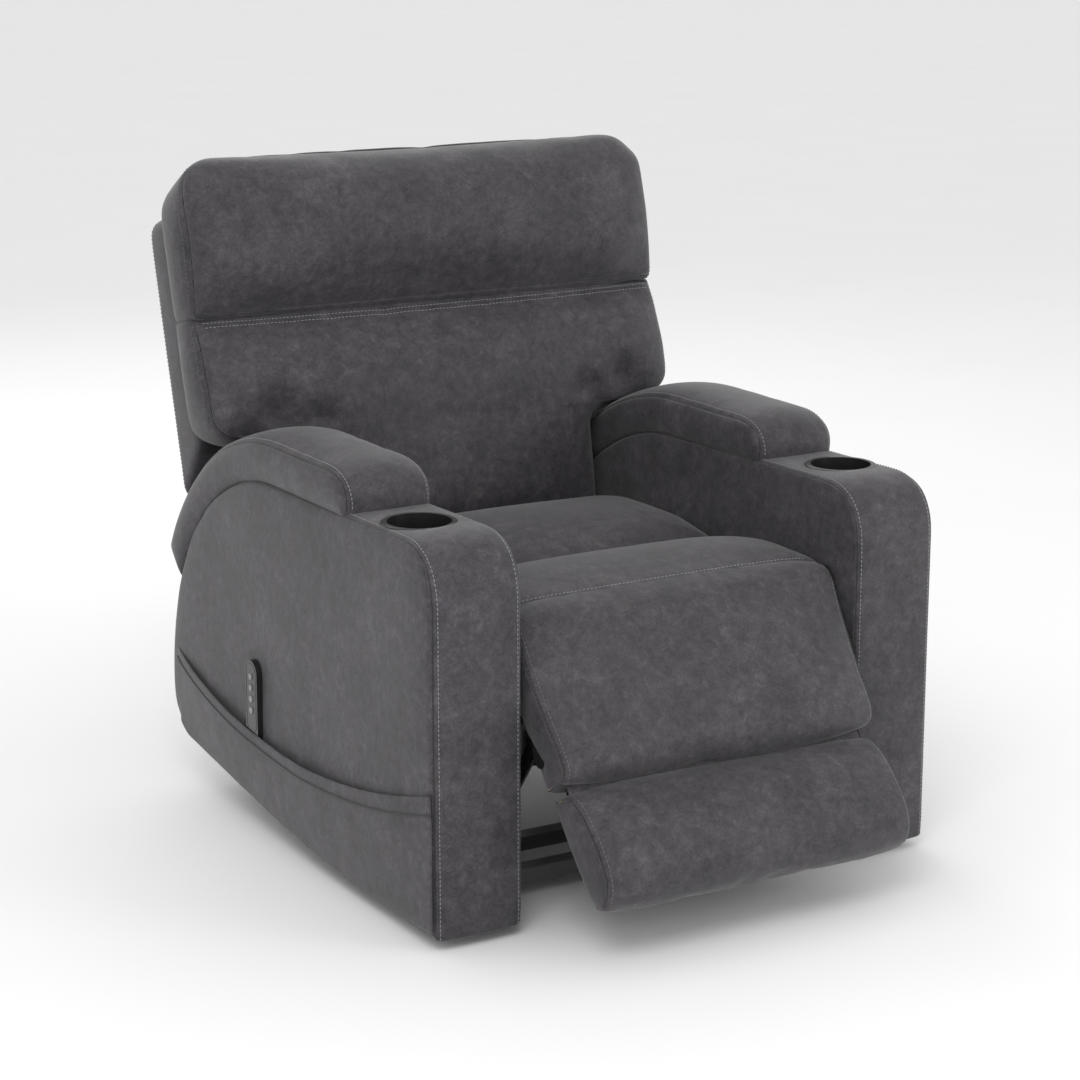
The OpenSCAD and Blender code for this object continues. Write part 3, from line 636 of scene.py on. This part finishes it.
def cover(obj, nodes, body=None, fabric=None):
    """A finished upholstered piece: fabric, the nodes it stands for and its body."""
    obj.data.materials.append(fabric or FABRIC)
    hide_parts(*nodes)
    if body:
        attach(obj, body)


# ---- Arms ----

def arm_sides():
    """Bottom, top, front and rear of the arm's side outline."""
    nose = (BAND_LOW.y + NOSE_R, BAND_HIGH.z - NOSE_R)
    heel = (BAND_HIGH.y - HEEL_R, HEEL_Z)
    bottom = [(BAND_LOW.y, BAND_LOW.z), (SOLE_Y, BAND_LOW.z + SOLE_RISE)]
    bottom += arc(*heel, HEEL_R, HEEL_R, -90, -45, 5)
    top = arc(*nose, NOSE_R, NOSE_R, 135, 90, 5) + arc(CURVE_Y, HEEL_Z, ELL_Y, ELL_Z, 90, 48, 14)
    front = [(BAND_LOW.y, BAND_LOW.z)] + arc(*nose, NOSE_R, NOSE_R, 180, 135, 5)
    rear = arc(*heel, HEEL_R, HEEL_R, -45, -9, 4) + arc(CURVE_Y, HEEL_Z, ELL_Y, ELL_Z, 0, 48, 14)
    return bottom, top, front, rear


def arm(side, name):
    """Upholstered arm: outer and inner panels sewn to the band that runs round them."""
    crown, soft = (0.020, 0.085) if side > 0 else (0.007, 0.03)
    obj, rows = sewn("arm_cover_" + name, arm_sides(),
                     lambda y, z: Vector((side * (ARM_OUT - 0.001), y, z)),
                     lambda y, z: Vector((side * (SEAT_HALF + 0.001), y, z)),
                     crown=(crown, 0.003), soft=soft, bulge=0.004, side_soft=0.015, cell=0.020,
                     side_cell=0.018, waves=0.0022, seed=3 + side)
    cup = (CUP_LOW + CUP_HIGH) / 2
    bpy.ops.mesh.primitive_cylinder_add(
        vertices=64, radius=CUP_HOLE_R, depth=CUP_HOLE_DEPTH,
        location=(side * cup.x, cup.y, CUP_LOW.z - 0.004 + CUP_HOLE_DEPTH / 2))
    lines = places(obj, rows["side"]) + places(obj, rows["side_back"])
    _, seams = rows_where(obj, rows, lambda p: p.z > BAND_LOW.z + 0.014)
    settle(obj, bpy.context.object)
    cover(obj, ["arm_%s_%s" % (part, name) for part in ("outer_panel", "inner_panel", "band")],
          "base")
    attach(stitches("arm_stitches_" + name, obj, lines), "base")
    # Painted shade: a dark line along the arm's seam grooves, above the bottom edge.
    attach(painted_seam_shadow("arm_seam_shadows_" + name, obj, seams), "base")


def pad_sides():
    """Bottom, top, front and rear of the arm pad, whose underside lies on the arm."""
    sink = 0.004
    nose = (PAD_LOW.y + PAD_NOSE_Y, PAD_HIGH.z - PAD_NOSE_Z, PAD_NOSE_Y, PAD_NOSE_Z)
    low = BAND_HIGH.z - TOP_DROP - sink
    bottom = [(PAD_LOW.y, low), (CURVE_Y - 0.05, low)]
    bottom += arc(CURVE_Y, HEEL_Z, ELL_Y - sink, ELL_Z - sink, 90, 26, 14)
    top = arc(*nose, 135, 90, 6)
    top += arc(CURVE_Y, HEEL_Z, ELL_Y + PAD_T, ELL_Z + PAD_T, 90, 29, 14)
    front = [(PAD_LOW.y + 0.003, low)] + arc(*nose, 180, 135, 6)
    rear = [bottom[-1], top[-1]]
    return bottom, top, front, rear


def arm_pad(side, name):
    """Domed pad on the arm: two gussets and one long strip over the top and down the nose."""
    obj, rows = sewn("arm_rest_pad_" + name, pad_sides(),
                     lambda y, z: Vector((side * (ARM_OUT - 0.003), y, z)),
                     lambda y, z: Vector((side * (SEAT_HALF + 0.003), y, z)),
                     crown=(0.007, 0.005), soft=0.015, bulge=0.014, side_soft=0.03, cell=0.014,
                     side_cell=0.016, seed=6 + side)
    inflate(obj, rows["seams"], 0.008, pressure=2.0)
    lines, seams = rows_where(
        obj, rows, lambda p: p.z > BAND_HIGH.z - 0.002 or p.y > CURVE_Y + 0.12)
    settle(obj)
    cover(obj, ["arm_pad_" + name], "base")
    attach(stitches("arm_pad_stitches_" + name, obj, lines), "base")
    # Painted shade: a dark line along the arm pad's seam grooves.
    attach(painted_seam_shadow("arm_pad_seams_" + name, obj, seams), "base")


# ---- Seat, footrest and back cushions ----

def table(value, *pairs):
    """Height at a place, from a few (place, height) pairs."""
    return float(np.interp(value, [p[0] for p in pairs], [p[1] for p in pairs]))


def seat_rear():
    """Rear seat cushion, highest across its middle."""
    low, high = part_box("seat_cushion_rear")
    crown = 0.022

    def top(x, y):
        drop = table(y, (low.y, 0.036), (low.y + 0.05, 0.012), (low.y + 0.13, 0.0),
                     (high.y - 0.1, 0.0), (high.y, 0.030))
        return Vector((x, y, high.z - crown - drop))

    outline = box_sides(CUSHION_HALF - 0.002, low.y + 0.003, high.y - 0.012, 0.02)
    obj, rows = sewn("seat_hump", outline, top, lambda x, y: Vector((x, y, low.z + 0.002)),
                     crown=(crown, 0), seed=11)
    inflate(obj, rows["seams"] + rows["all_back"], 0.022)
    settle(obj)
    cover(obj, ["seat_cushion_rear"], "base")


def chaise():
    """Front seat section and upper footrest pad in one cover, bent over the footrest pivot."""
    low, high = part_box("seat_cushion_front")
    roll = 0.029  # radius of the cover round the pivot
    crest = [(-0.002, -0.052), (-0.012, -0.036), (-0.035, -0.022), (-0.070, -0.012),
             (-0.105, -0.007), (-0.140, -0.007), (-0.172, -0.011), (-0.199, -0.018)]
    line = [(high.y + dy, high.z + dz) for dy, dz in crest]
    line += [(PIVOT.y + roll * math.cos(a), PIVOT.z + roll * math.sin(a))
             for a in map(math.radians, (67, 105, 140))]
    leaf = [(0.05, 0.025), (0.10, 0.022), (0.15, 0.021), (0.19, 0.023), (0.219, 0.022),
            (0.236, 0.013), (0.242, -0.003), (0.238, -0.020)]
    line += [tuple(leaf_at(PIVOT, REST_ANGLE, 0, *q).yz) for q in leaf]

    def swell(underneath, place):
        leaf_part = np.interp(place[1], (PIVOT.z - 0.16, PIVOT.z - 0.03), (0.009, 0.015))
        crest_part = np.interp(place[0], (PIVOT.y + 0.015, PIVOT.y + 0.065), (0.0, 0.015))
        return 0.002 if underneath else float(leaf_part + crest_part)

    top = drawn_in(curve(line), lambda low, q: 0.95 * swell(low, q))
    under = [leaf_at(PIVOT, REST_ANGLE, 0, *q).yz
             for q in ((0.050, -0.0495), (0.13, -0.0505), (0.2335, -0.0500))]
    bottom = curve([(high.y - 0.004, low.z + 0.002), (PIVOT.y + 0.10, low.z + 0.002),
                    (PIVOT.y + 0.056, low.z + 0.006), (PIVOT.y + 0.050, PIVOT.z - 0.030)], 6)
    bottom = list(bottom) + [tuple(q) for q in under]
    run = np.concatenate([[0], np.cumsum(np.linalg.norm(np.diff(top, axis=0), axis=1))])
    to_crease = np.hypot(top[:, 0] - PIVOT.y - 0.020, top[:, 1] - PIVOT.z - 0.012)
    seam_at = run[int(np.argmin(to_crease))]

    def half(z):
        wider = np.interp(z, (PIVOT.z - 0.18, PIVOT.z - 0.10, PIVOT.z), (0.0035, 0.010, 0.015))
        return CUSHION_HALF + float(wider)

    obj, rows = sewn("chaise_cover", (bottom, top, [bottom[0], top[0]], [bottom[-1], top[-1]]),
                     lambda y, z: Vector((-half(z), y, z)), lambda y, z: Vector((half(z), y, z)),
                     crown=(0.003, 0.003), soft=0.02, bulge=swell, side_soft=0.040, pucker=0.0014,
                     seams_across=(seam_at,), hem=0.1, seed=15)
    held = rows["faces"] + rows["under"] + rows["strip_line"][seam_at]
    inflate(obj, held, 0.006, pressure=2.0)
    normal = leaf_at(Vector(), REST_ANGLE, 0, 0, 1)

    def on_leaf(p):
        off = (p - leaf_at(PIVOT, REST_ANGLE, p.x, 0, 0)).dot(normal)
        return p.z < PIVOT.z + 0.010 and p.y < PIVOT.y + 0.004 and off > -0.012

    edge_runs, seams = rows_where(obj, rows, on_leaf)
    crest_run = [(CUSHION_HALF * k / 15 * 0.95, PIVOT.y + 0.0185, PIVOT.z + 0.030)
                 for k in range(-15, 16)]
    settle(obj)
    cover(obj, ["seat_cushion_front", "footrest_pad"])
    # The seam line among these pieces is painted shade: a dark line in the seam grooves on the footrest leaf.
    for piece in (obj, stitches("chaise_stitches", obj, [crest_run]),
                  stitches("chaise_edge_stitches", obj, edge_runs, THREAD_DARK),
                  painted_seam_shadow("chaise_seam_shadows", obj, seams)):
        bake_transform(piece)


def flip_pad():
    """Lower footrest pad whose face wraps round its lower end, between two gussets."""
    face, rear, end = 0.066, 0.0075, 0.185

    def swell(underneath, place):
        return 0.001 if underneath else 0.008

    over = curve([(0.0065, 0.030), (0.012, 0.044), (0.028, 0.056), (0.058, 0.064), (0.10, face),
                  (0.135, 0.064), (0.162, 0.055), (0.180, 0.037), (end, 0.018)], 6)
    line = drawn_in(over[::-1], lambda low, q: 0.9 * swell(low, q))[::-1]
    bottom = curve([(0.0065, rear), (0.09, rear - 0.001), (0.165, rear), (0.176, rear + 0.002)], 6)
    half = CUSHION_HALF - 0.002
    obj, rows = sewn("flip_pad_cover", (bottom, line, [bottom[0], line[0]], [bottom[-1], line[-1]]),
                     lambda a, off: leaf_at(FLIP, FLIP_ANGLE, half, a, off),
                     lambda a, off: leaf_at(FLIP, FLIP_ANGLE, -half, a, off),
                     crown=(0.004, 0.004), soft=0.02, bulge=swell, side_soft=0.035,
                     pucker=0.0014, hem=0.1, seed=19)
    inflate(obj, rows["faces"] + rows["under"], 0.006, pressure=2.0)
    normal = leaf_at(Vector(), FLIP_ANGLE, 0, 0, 1)
    lines, seams = rows_where(obj, rows, lambda p: (p - FLIP).dot(normal) > 0.022)
    settle(obj)
    cover(obj, ["flip_pad"], "flip")
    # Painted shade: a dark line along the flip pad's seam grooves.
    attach(painted_seam_shadow("flip_seam_shadows", obj, seams), "flip")
    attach(stitches("flip_stitches", obj, lines, THREAD_DARK), "flip")


def footrest_bridge():
    """Fabric that joins the two footrest pads in the crease between them."""
    height = 0.06

    def across(x, s, off):
        upper = leaf_at(PIVOT, REST_ANGLE, x, 0.212, -0.018 + off)
        lower = leaf_at(FLIP, FLIP_ANGLE, x, 0.034, 0.040 + off)
        return upper.lerp(lower, s / height)

    obj, _ = sewn("footrest_bridge", box_sides(CUSHION_HALF - 0.010, 0, height),
                  lambda x, s: across(x, s, 0), lambda x, s: across(x, s, -0.008),
                  crown=(0.001, 0.0), bulge=0.0, cell=0.02, side_cell=0.02, seed=21)
    settle(obj)
    cover(obj, [])
    start, end = across(0, 0.012, 0), across(0, 0.048, 0)
    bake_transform(obj)
    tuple(start)
    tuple(end)


def head_cushion():
    """Head roll, with a dimple at each end just above the seam under it."""
    crown = 0.030
    low, top = 0.442, 0.694
    slope = 0.57  # height above which the rear leans down

    def front(x, w):
        u = table(w, (low, -0.052), (0.481, -0.060), (0.561, -0.066), (0.637, -0.064),
                  (0.679, -0.052), (top, -0.030))
        return back_at(x, u + crown, w)

    def rear(x, w):
        return back_at(x, 0.058, w - 0.030 * max(0, (w - slope) / (top - slope)))

    def swell(underneath, place):
        return float(np.interp(place[1], (0.60, 0.69), (0.008, 0.001)))

    obj, rows = sewn("head_roll", box_sides(BACK_HALF - 0.003, low, top, 0.010, 0.070), front,
                     rear, crown=(crown, 0.0), soft=0.021, bulge=swell, waves=0.0024, seed=23)
    inflate(obj, rows["seams"] + rows["all_back"], 0.020, pressure=3.0)
    dimples = ((0.390, 0.468, 0.032, 0.012), (0.345, 0.512, 0.055, -0.010))
    press(obj, [(back_at(side * x, -0.068, w), wide, deep)
                for side in (-1, 1) for x, w, wide, deep in dimples], REARWARD)
    lines, seams = rows_where(obj, rows, lambda p: abs(p.x) > BACK_HALF - 0.030, FRONT_FACE)
    settle(obj)
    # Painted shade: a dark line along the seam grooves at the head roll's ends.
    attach(painted_seam_shadow("head_seam_shadow", obj, seams), "back")
    cover(obj, ["head_cushion"], "back")
    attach(stitches("head_stitches", obj, lines, THREAD_DARK), "back")


def lumbar_cushion():
    """Lumbar cushion: narrow between the arms, then wings over the arm pads, with dimples there."""
    crown = 0.026
    low, top = 0.028, 0.438
    wing = 0.236
    narrow, wide = CUSHION_HALF - 0.002, BACK_HALF - 0.003

    def front(x, w):
        u = table(w, (low, -0.026), (0.045, -0.034), (0.12, -0.050), (wing + 0.01, -0.061),
                  (0.33, -0.060), (0.40, -0.050), (top, -0.038))
        return back_at(x, u + crown, w)

    right = curve([(narrow, low), (narrow, wing - 0.050), (narrow + 0.004, wing - 0.018),
                   (narrow + 0.024, wing + 0.001), (narrow + 0.085, wing + 0.006),
                   (wide - 0.035, wing + 0.012), (wide - 0.008, wing + 0.028),
                   (wide, wing + 0.060), (wide, top)], 8)
    left = [(-x, w) for x, w in right]
    sides = ([(-narrow, low), (narrow, low)], [(-wide, top), (wide, top)], left, right)
    obj, rows = sewn("lumbar_pad", sides, front, lambda x, w: back_at(x, 0.058, w),
                     crown=(crown, 0.0), soft=0.028, bulge=0.007, waves=0.004, seed=27)
    inflate(obj, rows["seams"] + rows["all_back"], 0.020, pressure=3.0)
    dimples = ((0.318, 0.042, 0.030, 0.022), (0.243, 0.028, 0.022, 0.018),
               (0.281, 0.052, 0.020, -0.004), (0.345, 0.095, 0.045, -0.007))
    press(obj, [(back_at(side * x, -0.070, wing + w), across, deep)
                for side in (-1, 1) for x, w, across, deep in dimples], REARWARD)
    lines, seams = rows_where(
        obj, rows, lambda p: p.z > HINGE.z + wing + 0.02 and abs(p.x) > wide - 0.03, FRONT_FACE)
    settle(obj)
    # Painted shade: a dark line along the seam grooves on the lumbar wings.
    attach(painted_seam_shadow("lumbar_seam_shadow", obj, seams), "back")
    cover(obj, ["lumbar_cushion"], "back")
    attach(stitches("lumbar_stitches", obj, lines, THREAD_DARK), "back")
    double = [[back_at(wide * k / 20 * 0.97, u, top - down) for k in range(-20, 21)]
              for u, down in ((-0.018, 0.006), (-0.028, 0.013))]
    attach(stitches("back_seam_stitches", obj, double), "back")


def back_covers():
    """Rear shell: a boxed cover behind the cushions, and a skirt that hangs between the arms."""
    low = 0.168
    foot = 0.252
    top = 0.620
    rear, mouth = 0.170, 0.077

    def inner(x, w):
        return back_at(x, mouth, foot + (w - low) * (top - foot) / (top - low))

    obj, rows = sewn("back_cover", box_sides(SHELL_HALF, low, top, 0.012, 0.030),
                     lambda x, w: back_at(x, rear, w), inner, crown=(0.006, 0.0), soft=0.05,
                     bulge=0.003, cell=0.020, waves=0.0025, seed=31)
    lines = places(obj, rows["side"])
    settle(obj)
    cover(obj, ["back_panel", "back_side_left", "back_side_right"], "back", FABRIC_REAR)
    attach(stitches("back_stitches", obj, lines), "back")
    outline = box_sides(CUSHION_HALF - 0.004, -0.040, low + 0.012, 0.006, 0.004)
    skirt, _ = sewn("back_skirt", outline, lambda x, w: back_at(x, rear - 0.001, w),
                    lambda x, w: back_at(x, rear - 0.012, w), crown=(0.002, 0.001), soft=0.03,
                    bulge=0.001, cell=0.02, seed=35)
    settle(skirt)
    cover(skirt, [], "back", FABRIC_REAR)


# ---- Side pocket and remote ----

def pocket():
    """Cloth pocket sewn to the arm along three sides, with a turned hem at its open top."""
    low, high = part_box("side_pocket")
    middle = (low.y + high.y) / 2 - 0.004
    half = (high.y - low.y) / 2 + 0.010
    reach = -low.x - ARM_OUT
    mouth_y, mouth_half = 0.027, 0.428  # lowest place of the open top, and half its length
    bottom, _, _, rear = arm_sides()
    under = curve([(BAND_LOW.y + 0.003, BAND_LOW.z + 0.006)] + bottom[1:] + rear[1:9], 3)
    columns = 84
    levels = [0, 0.04, 0.12] + [0.12 + 0.70 * k / 10 for k in range(1, 11)] + [0.86, 0.93, 1.0]
    verts, faces = [], []
    for i in range(columns + 1):
        y = middle + half * (2 * i / columns - 1)
        z_low = float(np.interp(y, under[:, 0], under[:, 1])) + 0.004
        z_top = 0.163 + 0.064 * ((y - mouth_y) / mouth_half) ** 2 + 0.006
        ends = 1 - abs(2 * i / columns - 1) ** 5
        for t in levels:
            z = z_low + (z_top - z_low) * t
            sag = wave((y, z, 0.3), 0.12, 0.0022 * t, 41)
            sag += wave((y, z, 0.7), SHORT_WAVE, 0.0008, 43)
            hem = 0.0012 if t > 0.84 else 0.0
            belly = (reach - 0.0045) * ends * math.sin(math.pi / 2 * t) ** 0.8
            out = 0.0015 + belly + hem + sag * ends
            verts.append(Vector((-ARM_OUT - out, y, z)))
    rows = len(levels)
    for i in range(columns):
        for j in range(rows - 1):
            a = i * rows + j
            faces.append([a, a + 1, a + rows + 1, a + rows])
    obj = new_object("side_pocket_cloth", verts, faces)
    hem_line = [[verts[i * rows + rows - 3] for i in range(columns + 1)]]
    thick = obj.modifiers.new("cloth", "SOLIDIFY")
    thick.thickness = 0.0024
    thick.offset = 0
    settle(obj)
    cover(obj, ["side_pocket"], "base")
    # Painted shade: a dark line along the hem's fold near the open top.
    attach(painted_seam_shadow("pocket_hem_shadow", obj, hem_line), "base")


def remote_trim():
    """Thin raised frame round the buttons on the remote's face."""
    low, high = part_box("remote_body")
    middle, half = (low.y + high.y) / 2, (high.y - low.y) / 2 - 0.004
    top, foot = high.z - 0.021, high.z - 0.100
    line = arc(middle, top, half, half, 0, 180, 16) + arc(middle, foot, half, half, 180, 360, 16)
    count, verts, faces = len(line), [], []
    for y, z in line:
        near = Vector((0, y - middle, z - min(max(z, foot), top))).normalized()
        for out, rise in ((0, 0.0002), (0.0002, -0.0003), (0.0010, -0.0003), (0.0012, 0.0002)):
            verts.append(Vector((low.x + rise, y, z)) - near * out)
    for k in range(count):
        for m in range(4):
            a, b = k * 4 + m, k * 4 + (m + 1) % 4
            c, d = (k + 1) % count * 4 + (m + 1) % 4, (k + 1) % count * 4 + m
            faces.append([a, b, c, d])
    obj = new_object("remote_trim", verts, faces)
    obj.data.materials.append(FINISH["black_plastic"])
    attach(obj, "remote")


# ---- Surroundings ----

def surroundings():
    """Pale floor, bright even surroundings, soft lights and the camera."""
    bpy.ops.mesh.primitive_plane_add(size=120)
    floor = bpy.context.object
    floor.name = "floor"
    made, tree, surface, where = shader("floor", {"Roughness": 0.9, "Specular IOR Level": 0.1})
    pale = ramp(tree, grain(tree, where, 2, 2), [(0, (0.90, 0.90, 0.90)), (1, (0.93, 0.93, 0.93))])
    tree.links.new(pale, surface.inputs["Base Color"])
    floor.data.materials.append(made)
    world = bpy.data.worlds.new("world")
    world.use_nodes = True
    sky = world.node_tree.nodes["Background"]
    sky.inputs["Color"].default_value = (1, 1, 1, 1)
    sky.inputs["Strength"].default_value = 0.86
    SCENE.world = world
    SCENE.view_settings.view_transform = "Standard"
    for name, place, size, power in (("key", (-2.2, -2.6, 3.6), 2.0, 56),
                                     ("fill", (2.4, -3.6, 1.6), 1.5, 34),
                                     ("rear", (0.6, 3.4, 3.0), 2.6, 30)):
        light = bpy.data.lights.new(name, "AREA")
        light.size = size
        light.energy = power
        lamp = bpy.data.objects.new(name, light)
        lamp.location = place
        aim = Vector((0, 0, 0.5)) - lamp.location
        lamp.rotation_euler = aim.to_track_quat("-Z", "Y").to_euler()
        SCENE.collection.objects.link(lamp)
    eye = bpy.data.cameras.new("camera")
    eye.lens = 93.33
    eye.sensor_width = 36
    camera = bpy.data.objects.new("camera", eye)
    camera.location = (-2.1534, -3.605, 1.4987)
    camera.rotation_euler = (math.radians(90 - 13.974), 0, math.radians(-30.619))
    SCENE.collection.objects.link(camera)
    SCENE.camera = camera


surroundings()
finish_nodes()
for side, name in ((1, "left"), (-1, "right")):
    arm(side, name)
    arm_pad(side, name)
seat_rear()
chaise()
flip_pad()
footrest_bridge()
head_cushion()
lumbar_cushion()
back_covers()
pocket()
remote_trim()
